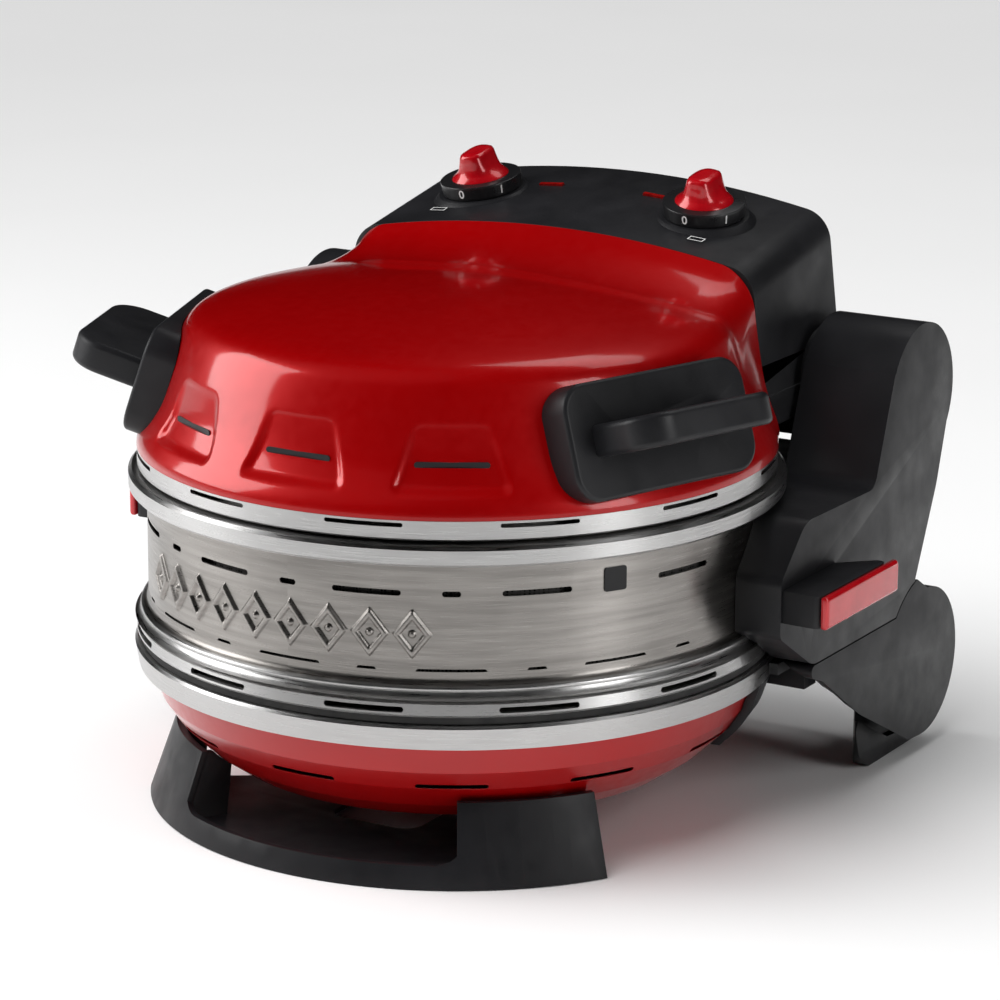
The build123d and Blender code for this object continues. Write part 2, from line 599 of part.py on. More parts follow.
def housing():
    """Control housing behind the lid: top, sides, bottom and back walls with the hinge knuckles."""
    inner = along_y(housing_section(PLASTIC), SEAM_Y, HOUSING_BACK_Y - SEAM_Y - PLASTIC, TOP_SLOPE)
    inner = inner + block((-FOOT_X + PLASTIC, SEAM_Y, HOUSING_LOW_Z + PLASTIC),
                          (FOOT_X - PLASTIC, HOUSING_BACK_Y - PLASTIC, 250))
    shell = housing_outer() - inner
    for _, side in SIDES:
        shell = shell + mirrored(rod_x(UPPER_AXIS, KNUCKLE_R, *KNUCKLE_X), side)
    shell = shell - dome_solid(0.3, 190) - block((-COVER_X, 195, COVER_Z[0]), (COVER_X, 210, COVER_Z[1]))
    for _, side in SIDES:
        shell = shell - mirrored(rod_x(UPPER_AXIS, PIN_R + PIN_FIT, 100, 150), side)
        shell = shell - knob_place(side) * Cylinder(4.0, 30)
        lamp = top_plane(side * LAMP[0], LAMP[1]).location
        shell = shell - lamp * Box(LAMP_SIZE[0] + 0.2, LAMP_SIZE[1] + 0.2, 12)
    return shell


def housing_cover():
    """Rear service cover, screwed into the housing's back wall."""
    return block((-COVER_X + 0.2, 202.2, COVER_Z[0] + 0.2), (COVER_X - 0.2, HOUSING_BACK_Y, COVER_Z[1] - 0.2))


def knob_place(side):
    """Where a knob stands on the housing's top; its local Z is the knob's axis."""
    return top_plane(side * KNOB_X, KNOB_Y).location


def dial_ring(side):
    """Low conical pad under the dial, seated on the housing's top."""
    pad = knob_place(side) * Pos(0, 0, -0.6) * Cone(32.5, 27.0, 5.0)
    return pad - housing_outer() - knob_place(side) * Cylinder(4.0, 30)


def knob_dial(side):
    """Dial, a little wider at its top, and its shaft."""
    dial = knob_place(side) * Pos(0, 0, 2.2) * Cone(DIAL_R - 0.8, DIAL_R, 8.4,
                                                    align=(Align.CENTER, Align.CENTER, Align.MIN))
    return dial + knob_place(side) * Pos(0, 0, -5) * Cylinder(3.0, 20)


def knob_grip(side):
    """Red grip: a flared foot and a narrower finger bar on top."""
    place = knob_place(side)
    foot = place * Pos(0, 0, 10.7) * Cone(18.0, 14.0, 5.0, align=(Align.CENTER, Align.CENTER, Align.MIN))
    bar_low = place * Pos(0, 0, 15.6) * RectangleRounded(19, 27, 9)
    bar_top = place * Pos(0, 0, 27.2) * RectangleRounded(14, 24.5, 6.9)
    return foot + loft([bar_low, bar_top])


def indicator_lamps():
    return Compound([top_plane(s * LAMP[0], LAMP[1]).location * Pos(0, 0, -2) *
                     Box(LAMP_SIZE[0], LAMP_SIZE[1], 6) for _, s in SIDES])


def thermostat(side):
    """Thermostat body under the knob, with a hole for the knob's shaft."""
    body = knob_place(side) * Pos(0, 0, -15.2) * Box(34, 30, 21)
    return body - knob_place(side) * Pos(0, 0, -10) * Cylinder(3.1, 20)


def terminal_block():
    rows = block((-30, 188, 250), (30, 201, 266))
    return rows - [block((x - 3, 185, 255), (x + 3, 203, 261)) for x in (-20, -7, 7, 20)]


# ---------------------------------------------------------------- write every node
save("stand_front", stand_front())
save("rubber_feet", rubber_feet())
save("rear_crossbar", rear_crossbar())
save("mains_inlet", mains_inlet())
save("foot_screws", foot_screws())
save("bowl_shell", bowl_shell())
save("bowl_liner", bowl_liner())
save("base_rim", base_rim())
save("lower_element", element(LOWER_ROD_Z, ROD_R, 155))
save("lower_element_clips", clips(ROD_R, 44.1, LOWER_ROD_Z - 3.6))
save("lower_stone", disc(STONE_R, LOWER_STONE_Z + 0.1, LOWER_STONE_Z + STONE_THICK))
save("lower_hinge_pins", Compound([mirrored(rod_x(LOWER_AXIS, PIN_R, 150, 204), s) for _, s in SIDES]))

save("mid_band", mid_band())
save("mid_flange", mid_flange())
save("mid_seal", mid_seal())
save("mid_top_rim", mid_top_rim())
save("mid_mesh", mid_mesh())
save("rear_shroud", rear_shroud())
save("upper_tray", upper_tray())
save("upper_stone", disc(STONE_R, UPPER_STONE_Z + 0.1, UPPER_STONE_Z + STONE_THICK))
save("stone_element", element(163.5, ROD_R, 140))
save("stone_element_clips", clips(ROD_R, 156.1, 159.9))
save("ceiling_plate", ceiling_plate())
save("ceiling_element", element(132.0, ROD_R, 140))
save("ceiling_element_clips", clips(ROD_R, 135.6, 147.9))
save("lever_screws", lever_screws())
save("upper_hinge_pins", Compound([mirrored(rod_x(UPPER_AXIS, PIN_R, 114, 200), s) for _, s in SIDES]))

save("lid_shell", lid_shell())
save("lid_rim", lid_rim())
save("lid_liner", lid_liner())
save("lid_element", element(LID_ROD_Z, ROD_R, 158))
save("lid_element_clips", clips(ROD_R, LID_ROD_Z + 3.6, 283.0))
save("handle_screws", handle_screws())
save("housing", housing())
save("housing_cover", housing_cover())
save("indicator_lamps", indicator_lamps())
save("terminal_block", terminal_block())

for name, side in SIDES:
    save(f"rear_foot_{name}", mirrored(rear_foot(), side))
    save(f"hinge_bracket_{name}", mirrored(hinge_bracket(), side))
    save(f"arm_{name}", mirrored(arm(), side))
    save(f"side_lever_{name}", mirrored(lever(), side))
    save(f"lever_cap_{name}", mirrored(lever_cap(), side))
    save(f"handle_plate_{name}", mirrored(handle_plate(), side))
    save(f"handle_grip_{name}", mirrored(handle_grip(), side))
    save(f"dial_ring_{name}", dial_ring(side))
    save(f"knob_dial_{name}", knob_dial(side))
    save(f"knob_grip_{name}", knob_grip(side))
    save(f"thermostat_{name}", thermostat(side))
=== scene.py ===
"""Countertop pizza oven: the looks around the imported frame, in metres, in the row frame."""
import json
import math
import bmesh
import bpy
import numpy as np
from mathutils import Matrix, Vector


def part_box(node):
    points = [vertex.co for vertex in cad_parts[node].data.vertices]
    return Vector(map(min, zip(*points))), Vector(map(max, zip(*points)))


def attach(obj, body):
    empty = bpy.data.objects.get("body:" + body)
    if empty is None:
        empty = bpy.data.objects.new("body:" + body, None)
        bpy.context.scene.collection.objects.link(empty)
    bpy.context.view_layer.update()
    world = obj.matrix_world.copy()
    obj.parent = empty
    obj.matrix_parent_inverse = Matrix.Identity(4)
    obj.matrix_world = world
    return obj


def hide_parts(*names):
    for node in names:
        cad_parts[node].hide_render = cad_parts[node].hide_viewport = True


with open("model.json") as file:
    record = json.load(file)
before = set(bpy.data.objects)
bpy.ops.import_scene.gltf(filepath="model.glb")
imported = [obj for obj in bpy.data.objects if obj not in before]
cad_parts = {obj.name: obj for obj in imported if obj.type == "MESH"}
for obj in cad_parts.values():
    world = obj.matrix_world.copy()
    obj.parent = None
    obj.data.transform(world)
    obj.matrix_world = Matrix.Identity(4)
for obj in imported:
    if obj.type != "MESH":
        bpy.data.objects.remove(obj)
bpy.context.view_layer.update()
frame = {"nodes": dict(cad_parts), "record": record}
scene = bpy.context.scene

MM = 0.001
band_low, band_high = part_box("mid_band")
AXIS_Y = (band_low.y + band_high.y) / 2      # the round body's axis, in the row frame
BAND_R = 180.0                               # mm, the steel band
BAND_SHADE_FADE_FROM, BAND_SHADE_FADE_TO = 182.2, 183.4        # mm: band steel painted darker inside (painted shade for its darker reflections), plain steel colour outside
SEAM_Y = 105.0                               # mm behind the axis: red lid in front, housing behind


# ---------------------------------------------------------------- places
def place(x, y, z):
    """Point from millimetres about the round body's axis."""
    return Vector((x * MM, y * MM + AXIS_Y, z * MM))


def around(angle, radius, z):
    """Point at an angle from the front, towards +X; radius and z in millimetres."""
    a = math.radians(angle)
    return place(radius * math.sin(a), -radius * math.cos(a), z)


# ---------------------------------------------------------------- materials
class Paint:
    """A Principled material with short calls for its nodes."""

    def __init__(self, name, colour, roughness, **sockets):
        self.material = bpy.data.materials.new(name)
        self.material.use_nodes = True
        self.nodes = self.material.node_tree.nodes
        self.links = self.material.node_tree.links
        self.shader = self.nodes["Principled BSDF"]
        self.shader.inputs["Base Color"].default_value = (*colour, 1)
        self.shader.inputs["Roughness"].default_value = roughness
        for key, value in sockets.items():
            self.shader.inputs[key.replace("_", " ")].default_value = value
        self.where = self.nodes.new("ShaderNodeTexCoord").outputs["Object"]

    def add(self, kind, inputs=None, **settings):
        node = self.nodes.new("ShaderNode" + kind)
        for key, value in settings.items():
            setattr(node, key, value)
        for key, value in (inputs or {}).items():
            if isinstance(value, bpy.types.NodeSocket):
                self.links.new(value, node.inputs[key])
            else:
                node.inputs[key].default_value = value
        return node

    def noise(self, scale, detail=2.0, vector=None, stretch=None):
        vector = vector or self.where
        if stretch:
            vector = self.add("Mapping", {"Vector": vector, "Scale": stretch}).outputs[0]
        return self.add("TexNoise", {"Vector": vector, "Scale": scale, "Detail": detail}).outputs["Fac"]

    def spread(self, value, low, high, start=0.3, end=0.7):
        """Map a noise value to a range."""
        node = self.add("MapRange", {"Value": value, "From Min": start, "From Max": end,
                                     "To Min": low, "To Max": high})
        return node.outputs[0]

    def blend(self, factor, first, second):
        """Base colour between two colours or sockets; returns its socket."""
        mix = self.add("Mix", data_type="RGBA")
        self.links.new(factor, mix.inputs[0])
        for entry, colour in ((6, first), (7, second)):
            if isinstance(colour, bpy.types.NodeSocket):
                self.links.new(colour, mix.inputs[entry])
            else:
                mix.inputs[entry].default_value = (*colour, 1)
        self.links.new(mix.outputs[2], self.shader.inputs["Base Color"])
        return mix.outputs[2]

    def tint(self, value, dark, light):
        """Colour that varies between two with a noise value."""
        return self.blend(self.spread(value, 0.0, 1.0), dark, light)

    def rough(self, value, low, high):
        self.links.new(self.spread(value, low, high), self.shader.inputs["Roughness"])

    def bump(self, height, distance, strength=1.0):
        node = self.add("Bump", {"Height": height, "Distance": distance, "Strength": strength})
        self.links.new(node.outputs[0], self.shader.inputs["Normal"])


def red_enamel():
    """Glossy red stove enamel over steel, with a faint orange peel."""
    p = Paint("red_enamel", (0.42, 0.0, 0.001), 0.34, Coat_Weight=0.8, Coat_Roughness=0.10, Metallic=0.35,
              Specular_IOR_Level=0.25)
    p.tint(p.noise(9.0, 3.0), (0.39, 0.0, 0.001), (0.46, 0.0, 0.001))
    p.rough(p.noise(160.0), 0.32, 0.40)
    p.bump(p.noise(420.0, 1.0), 0.00004, 0.35)
    return p.material


def stainless_steel():
    """Stainless steel brushed round the body: painted darker on the band as painted shade for its darker
    reflections, plain steel colour on the rims outside it.
    """
    p = Paint("stainless_steel", (0.60, 0.575, 0.55), 0.30, Metallic=1.0, Anisotropic=0.75,
              Anisotropic_Rotation=0.25)
    split = p.add("SeparateXYZ", {"Vector": p.where})
    across = p.add("Math", {0: split.outputs["Y"], 1: AXIS_Y}, operation="SUBTRACT").outputs[0]
    turn = p.add("Math", {0: split.outputs["X"], 1: across}, operation="ARCTAN2").outputs[0]
    radius = p.add("VectorMath", {0: p.add("CombineXYZ", {"X": split.outputs["X"], "Y": across}).outputs[0]},
                   operation="LENGTH").outputs["Value"]
    grain = p.add("CombineXYZ", {"X": turn, "Y": radius, "Z": split.outputs["Z"]}).outputs[0]
    fine = p.noise(1.0, 4.0, grain, (9.0, 900.0, 2600.0))
    coarse = p.noise(1.0, 2.0, grain, (2.5, 120.0, 260.0))
    # Painted shade: the band's colour is darker than the rims' steel, standing for its darker reflections;
    # the coarse noise varies it at random.
    band_shade_colour = p.tint(coarse, (0.27, 0.255, 0.24), (0.37, 0.35, 0.33))
    plain_rim_share = p.add("MapRange", {"Value": radius, "From Min": BAND_SHADE_FADE_FROM * MM,
                                "From Max": BAND_SHADE_FADE_TO * MM}).outputs[0]
    p.blend(plain_rim_share, band_shade_colour, (0.56, 0.555, 0.55))
    p.rough(fine, 0.24, 0.42)
    p.bump(fine, 0.00003, 0.5)
    tangent = p.add("Tangent", direction_type="RADIAL", axis="Z")
    p.links.new(tangent.outputs[0], p.shader.inputs["Tangent"])
    return p.material


def black_plastic():
    """Black plastic with a fine spark-eroded texture and a little wear in its sheen."""
    p = Paint("black_plastic", (0.011, 0.011, 0.012), 0.42, Specular_IOR_Level=0.32)
    p.tint(p.noise(14.0, 4.0), (0.009, 0.009, 0.010), (0.015, 0.015, 0.017))
    p.rough(p.noise(55.0, 3.0), 0.36, 0.50)
    p.bump(p.noise(1500.0, 2.0), 0.00012, 0.45)
    return p.material


def dial_plastic():
    p = Paint("dial_plastic", (0.012, 0.012, 0.013), 0.3)
    p.rough(p.noise(90.0, 3.0), 0.24, 0.36)
    p.bump(p.noise(900.0, 2.0), 0.00005, 0.3)
    return p.material


def red_plastic():
    """Glossy red caps and knob grips, metallic flake under lacquer."""
    p = Paint("red_plastic", (0.5, 0.002, 0.008), 0.24, Coat_Weight=0.7, Coat_Roughness=0.06, Metallic=0.15)
    p.tint(p.noise(60.0, 3.0), (0.44, 0.001, 0.006), (0.58, 0.008, 0.014))
    p.bump(p.noise(800.0, 2.0), 0.00003, 0.4)
    return p.material


def lamp_lens():
    p = Paint("lamp_lens", (0.30, 0.004, 0.004), 0.18, Transmission_Weight=0.25)
    p.tint(p.noise(300.0), (0.24, 0.002, 0.002), (0.36, 0.008, 0.006))
    return p.material


def baking_stone():
    """Pressed cordierite: sandy, speckled, very rough."""
    p = Paint("baking_stone", (0.70, 0.60, 0.46), 0.9)
    p.tint(p.noise(240.0, 6.0), (0.58, 0.48, 0.35), (0.78, 0.69, 0.55))
    p.bump(p.noise(520.0, 6.0), 0.0006, 0.7)
    return p.material


def aluminised_sheet():
    p = Paint("aluminised_sheet", (0.66, 0.66, 0.65), 0.38, Metallic=1.0)
    p.tint(p.noise(35.0, 4.0), (0.56, 0.56, 0.55), (0.70, 0.70, 0.69))
    p.rough(p.noise(70.0, 4.0), 0.30, 0.46)
    p.bump(p.noise(260.0, 3.0), 0.00008, 0.4)
    return p.material


def heating_rod():
    p = Paint("heating_rod", (0.15, 0.14, 0.135), 0.5, Metallic=0.8)
    p.tint(p.noise(110.0, 5.0), (0.09, 0.085, 0.08), (0.21, 0.19, 0.17))
    p.bump(p.noise(900.0, 3.0), 0.00008, 0.5)
    return p.material


def black_mesh():
    """Perforated screen: staggered holes painted near-black as painted shade seen through them, in a grey
    sheet.
    """
    p = Paint("black_mesh", (0.03, 0.03, 0.03), 0.6, Metallic=0.6)
    holes = p.add("TexVoronoi", {"Vector": p.where, "Scale": 520.0, "Randomness": 0.15})
    edge = p.spread(holes.outputs["Distance"], 0.0, 1.0, 0.25, 0.45)
    # Painted shade: the holes are coloured near-black for the dark seen through them; nothing is cut.
    p.blend(edge, (0.004, 0.004, 0.004), (0.12, 0.115, 0.11))
    p.bump(edge, 0.0003, 0.8)
    return p.material


def rubber():
    p = Paint("rubber", (0.02, 0.02, 0.02), 0.8)
    p.tint(p.noise(80.0, 4.0), (0.015, 0.015, 0.015), (0.032, 0.031, 0.03))
    p.bump(p.noise(1400.0, 2.0), 0.0001, 0.5)
    return p.material


def plated_steel():
    p = Paint("plated_steel", (0.6, 0.6, 0.6), 0.3, Metallic=1.0)
    p.tint(p.noise(120.0, 4.0), (0.52, 0.52, 0.51), (0.68, 0.68, 0.68))
    p.rough(p.noise(300.0, 3.0), 0.22, 0.38)
    return p.material


def white_ceramic():
    p = Paint("white_ceramic", (0.82, 0.80, 0.75), 0.55)
    p.tint(p.noise(70.0, 4.0), (0.76, 0.74, 0.69), (0.86, 0.84, 0.80))
    p.bump(p.noise(700.0, 3.0), 0.00006, 0.4)
    return p.material


def print_ink():
    """White print on the dials."""
    p = Paint("print_ink", (0.85, 0.85, 0.84), 0.5)
    p.tint(p.noise(400.0, 2.0), (0.80, 0.80, 0.79), (0.88, 0.88, 0.87))
    return p.material


PAINTS = {maker.__name__: maker() for maker in (
    red_enamel, stainless_steel, black_plastic, dial_plastic, red_plastic, lamp_lens, baking_stone,
    aluminised_sheet, heating_rod, black_mesh, rubber, plated_steel, white_ceramic, print_ink)}

SLOT_OF = {part["node"]: part["material_slot"] for part in frame["record"]["subparts"]}
BODY_OF = {node: body for body, nodes in frame["record"]["behaviour"]["bodies"].items() for node in nodes}


def paint(piece, slot):
    piece.data.materials.clear()
    piece.data.materials.append(PAINTS[slot])


for name, node in frame["nodes"].items():
    for index in range(max(1, len(node.material_slots))):
        if not node.material_slots:
            node.data.materials.append(None)
        node.material_slots[index].link = "OBJECT"
        node.material_slots[index].material = PAINTS[SLOT_OF[name]]


# ---------------------------------------------------------------- building pieces
def piece_from(name, mesh, body, slot, sharp=38.0):
    """Link a mesh as a piece that rides on a body, smooth except at its sharp edges."""
    for polygon in mesh.polygons:
        polygon.use_smooth = True
    mesh.set_sharp_from_angle(angle=math.radians(sharp))
    piece = bpy.data.objects.new(name, mesh)
    scene.collection.objects.link(piece)
    paint(piece, slot)
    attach(piece, body)
    return piece


def mesh_from(name, vertices, faces):
    mesh = bpy.data.meshes.new(name)
    mesh.from_pydata([tuple(v) for v in vertices], [], faces)
    mesh.validate()
    return mesh


def outward(mesh):
    """Turn a closed mesh's faces outwards."""
    fix = bmesh.new()
    fix.from_mesh(mesh)
    bmesh.ops.recalc_face_normals(fix, faces=fix.faces)
    fix.to_mesh(mesh)
    fix.free()


def ring_faces(rings, steps):
    """Faces between closed rings of points, one above the other."""
    faces = []
    for low in range(0, (rings - 1) * steps, steps):
        for i in range(steps):
            j = (i + 1) % steps
            faces.append((low + i, low + j, low + steps + j, low + steps + i))
    return faces


def lathe(name, profile, body, slot, steps=360):
    """Closed (radius, z) profile in millimetres, turned about the round body's axis."""
    vertices = [around(360.0 * i / steps, r, z) for i in range(steps) for r, z in profile]
    n = len(profile)
    faces = []
    for i in range(steps):
        j = (i + 1) % steps
        for k in range(n):
            m = (k + 1) % n
            faces.append((i * n + k, j * n + k, j * n + m, i * n + m))
    mesh = mesh_from(name, vertices, faces)
    outward(mesh)
    return piece_from(name, mesh, body, slot)


def arc_points(centre, radius, start, end, count=8):
    """Points on an arc in a plane; angles in degrees."""
    turns = [math.radians(start + (end - start) * i / (count - 1)) for i in range(count)]
    return [(centre[0] + radius * math.cos(t), centre[1] + radius * math.sin(t)) for t in turns]


def apply_modifiers(piece):
    """Bake the modifiers into the piece's own mesh."""
    graph = bpy.context.evaluated_depsgraph_get()
    mesh = bpy.data.meshes.new_from_object(piece.evaluated_get(graph))
    piece.modifiers.clear()
    piece.data = mesh


def softened(node, width):
    """The node's own shape with its sharp edges rounded; it stands for the node."""
    mesh = frame["nodes"][node].data.copy()
    if "custom_normal" in mesh.attributes:
        mesh.attributes.remove(mesh.attributes["custom_normal"])
    soft = bmesh.new()
    soft.from_mesh(mesh)
    bmesh.ops.remove_doubles(soft, verts=soft.verts, dist=2e-6)
    bmesh.ops.dissolve_limit(soft, angle_limit=math.radians(0.3), verts=soft.verts, edges=soft.edges)
    soft.to_mesh(mesh)
    soft.free()
    piece = bpy.data.objects.new(node + "_soft", mesh)
    scene.collection.objects.link(piece)
    bevel = piece.modifiers.new("rounding", "BEVEL")
    bevel.limit_method = "ANGLE"
    bevel.angle_limit = math.radians(32)
    bevel.width = width
    bevel.segments = 3
    bevel.harden_normals = False
    apply_modifiers(piece)
    for polygon in piece.data.polygons:
        polygon.use_smooth = True
    piece.data.set_sharp_from_angle(angle=math.radians(40))
    paint(piece, SLOT_OF[node])
    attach(piece, BODY_OF[node])
    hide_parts(node)
    return piece


# Width of the edge rounding in metres, of the parts in pairs and of the single ones.
ROUNDED_PAIRS = {"arm": 0.0016, "hinge_bracket": 0.0014, "side_lever": 0.0012, "lever_cap": 0.0015,
                 "rear_foot": 0.0012, "handle_plate": 0.0012, "handle_grip": 0.0014,
                 "knob_dial": 0.0006, "dial_ring": 0.0006}
ROUNDED_SINGLE = {"stand_front": 0.0012, "housing": 0.0012}
for stem, width in ROUNDED_PAIRS.items():
    for side in ("left", "right"):
        softened(f"{stem}_{side}", width)
for node, width in ROUNDED_SINGLE.items():
    softened(node, width)


# ---------------------------------------------------------------- the lid's shell
# Radius and z of the dome's wall in mm, from its foot to its top.
DOME = [(185.6, 212.2), (185.2, 216.5), (183.0, 221.0), (177.0, 229.5), (171.0, 240.0), (165.2, 258.0),
        (160.0, 274.0), (155.5, 284.0), (147.0, 289.5), (124.0, 294.5), (96.0, 298.6), (70.0, 301.2),
        (36.0, 304.0), (0.0, 304.8)]
CROWN_R = 638.0                              # mm, the collar's crowned top
COLLAR_TOP = 318.9                           # its height at the seam
CORNER_X, CORNER_Z = 135.3, 304.4            # its side leans from this corner out to its foot
FOOT_X, FOOT_Z = 145.8, 213.0
COLLAR_ROUND = 20.0
COLLAR_FALL = math.radians(30)
COLLAR_SLOPE = math.tan(COLLAR_FALL)
VALLEY_ROUND = 16.0
WINDOWS = (-30.0, 0.0, 30.0)                 # angles of the three recessed windows
WINDOW_Z = (223.5, 263.0)
WINDOW_HALF = (11.3, 7.6)                    # half width at the foot and at the top, in degrees
WINDOW_DEPTH = 3.4                           # mm; deeper ones would meet the liner behind
WINDOW_CORNER, WINDOW_WALL = 7.0, 5.0        # mm: corner radius and width of the sloping wall
SHEET = 1.2                                  # mm, the enamelled steel
SLOT_Z = 239.0                               # the vent slot low in each window
SLOT_WIDE, SLOT_HIGH = 13.5, 3.0             # degrees and mm
SLOT_CUT_R, SLOT_CUT_DEEP = 170.0, 24.0
# Painted shade: black plates behind the slots stand for the dark inside of the lid.
SHADE_PLATE_R, SHADE_PLATE_THICK = 168.4, 0.7
LAP_WIDE, LAP_HIGH = 0.5, 0.4                # how much larger a shade plate is than its slot


def chaikin(points, rounds=2):
    """Round a polyline by cutting its corners."""
    for _ in range(rounds):
        cut = [points[0]]
        for a, b in zip(points[:-1], points[1:]):
            cut.append(tuple(0.75 * p + 0.25 * q for p, q in zip(a, b)))
            cut.append(tuple(0.25 * p + 0.75 * q for p, q in zip(a, b)))
        points = cut + [points[-1]]
    return points


def dome_distance(points, profile):
    """Signed distance from points (n, 3) to the turned dome profile."""
    flat = np.stack([np.hypot(points[:, 0], points[:, 1]), points[:, 2]], 1)
    start, end = profile[:-1], profile[1:]
    run = end - start
    along = np.einsum("nmk,mk->nm", flat[:, None, :] - start[None], run) / (run ** 2).sum(1)
    along = np.clip(along, 0, 1)
    near = start[None] + along[..., None] * run[None]
    distance = np.sqrt(((flat[:, None, :] - near) ** 2).sum(2)).min(1)
    inside = flat[:, 0] < np.interp(flat[:, 1], profile[:, 1], profile[:, 0], right=-1.0)
    return np.where(inside, -distance, distance)


def collar_distance(points):
    """Signed distance to the raised collar: a crowned section that falls towards the front."""
    x = np.abs(points[:, 0])
    z = points[:, 2] + (SEAM_Y - points[:, 1]) * COLLAR_SLOPE
    crown = np.hypot(points[:, 0], z - (COLLAR_TOP - CROWN_R)) - CROWN_R
    lean = (FOOT_X - CORNER_X) / (CORNER_Z - FOOT_Z)
    side = (x - (CORNER_X + (CORNER_Z - z) * lean)) / math.hypot(1, lean)
    a, b = crown + COLLAR_ROUND, side + COLLAR_ROUND
    rounded = np.minimum(np.maximum(a, b), 0) + np.hypot(np.maximum(a, 0), np.maximum(b, 0)) - COLLAR_ROUND
    return rounded * math.cos(COLLAR_FALL)


def shell_distance(points, profile):
    """The dome and the collar joined with a rounded valley."""
    dome = dome_distance(points, profile)
    collar = collar_distance(points)
    a, b = np.maximum(VALLEY_ROUND - dome, 0), np.maximum(VALLEY_ROUND - collar, 0)
    return np.maximum(np.minimum(dome, collar), VALLEY_ROUND) - np.hypot(a, b)


def window_depth(angle, z, radius):
    """Depth of the recessed windows in millimetres at points of the wall."""
    depth = np.zeros_like(angle)
    low, high = WINDOW_Z
    share = np.clip((z - low) / (high - low), 0, 1)
    half = np.radians(WINDOW_HALF[0] + (WINDOW_HALF[1] - WINDOW_HALF[0]) * share) * radius
    middle = (low + high) / 2
    for centre in WINDOWS:
        off = np.abs((np.degrees(angle) - centre + 180) % 360 - 180) * np.pi / 180 * radius
        qx = off - half + WINDOW_CORNER
        qz = np.abs(z - middle) - (high - low) / 2 + WINDOW_CORNER
        outside = np.hypot(np.maximum(qx, 0), np.maximum(qz, 0)) + np.minimum(np.maximum(qx, qz), 0)
        edge = np.clip((WINDOW_CORNER - outside) / WINDOW_WALL, 0, 1)
        edge = edge * edge * (3 - 2 * edge)
        # Deepest at the foot, fading out towards the top.
        depth = np.maximum(depth, edge * WINDOW_DEPTH * np.clip(1.15 * (1 - share), 0, 1) ** 0.8)
    return depth


def lid_surface():
    """Grid of points on the lid: rays from a point on the axis, out to the joined surface."""
    turns = 720
    profile = np.array(chaikin(DOME, 2))
    steps = np.hypot(*np.diff(profile, axis=0).T)
    reach = np.concatenate([[0], np.cumsum(steps)])
    rows = 170
    at = np.linspace(0, reach[-1], rows + 1)[:-1]
    radius, height = np.interp(at, reach, profile[:, 0]), np.interp(at, reach, profile[:, 1])
    centre = np.array([0.0, 0.0, DOME[0][1]])
    lift = np.arctan2(height - centre[2], radius)
    angle = np.arange(turns) * 2 * math.pi / turns
    lift_grid, angle_grid = [g.ravel() for g in np.meshgrid(lift, angle, indexing="ij")]
    way = np.stack([np.cos(lift_grid) * np.sin(angle_grid), -np.cos(lift_grid) * np.cos(angle_grid),
                    np.sin(lift_grid)], 1)
    near, far = np.full(len(way), 40.0), np.full(len(way), 260.0)
    for _ in range(20):
        middle = (near + far) / 2
        inside = shell_distance(centre + way * middle[:, None], profile) < 0
        near, far = np.where(inside, middle, near), np.where(inside, far, middle)
    points = centre + way * near[:, None]
    flat = np.hypot(points[:, 0], points[:, 1])
    depth = window_depth(np.arctan2(points[:, 0], -points[:, 1]), points[:, 2], flat)
    points[:, :2] *= (1 - depth / flat)[:, None]
    top = centre + np.array([[0, 0, 1.0]]) * (DOME[-1][1] - centre[2])
    return np.concatenate([points, top]), rows, turns


def rounded_bar(name, angle, radius, z, width, height, depth, corner=None):
    """Flat bar at a wall, with round ends or given corners; width in degrees, the rest in mm."""
    corner = corner or height / 2
    across, up = radius * math.radians(width / 2) - corner, height / 2 - corner
    outline = []
    for turn, x, y in ((0, across, up), (1, -across, up), (2, -across, -up), (3, across, -up)):
        outline += arc_points((x, y), corner, 90 * turn, 90 * turn + 90, 6)
    a = math.radians(angle)
    vertices = []
    for r in (radius - depth / 2, radius + depth / 2):
        for u, v in outline:
            x, y = r * math.sin(a) + u * math.cos(a), u * math.sin(a) - r * math.cos(a)
            vertices.append(place(x, y, z + v))
    n = len(outline)
    faces = [tuple(range(n)), tuple(reversed(range(n, 2 * n)))]
    faces += [(i, i + n, (i + 1) % n + n, (i + 1) % n) for i in range(n)]
    return mesh_from(name, vertices, faces)


def cut_out(piece, meshes):
    """Take cutter meshes out of a piece, exactly."""
    joined = bmesh.new()
    for mesh in meshes:
        joined.from_mesh(mesh)
    bmesh.ops.recalc_face_normals(joined, faces=joined.faces)
    cutter_mesh = bpy.data.meshes.new("cutter")
    joined.to_mesh(cutter_mesh)
    joined.free()
    cutter = bpy.data.objects.new("cutter", cutter_mesh)
    scene.collection.objects.link(cutter)
    cut = piece.modifiers.new("cut", "BOOLEAN")
    cut.operation = "DIFFERENCE"
    cut.solver = "EXACT"
    cut.object = cutter
    apply_modifiers(piece)
    bpy.data.objects.remove(cutter)


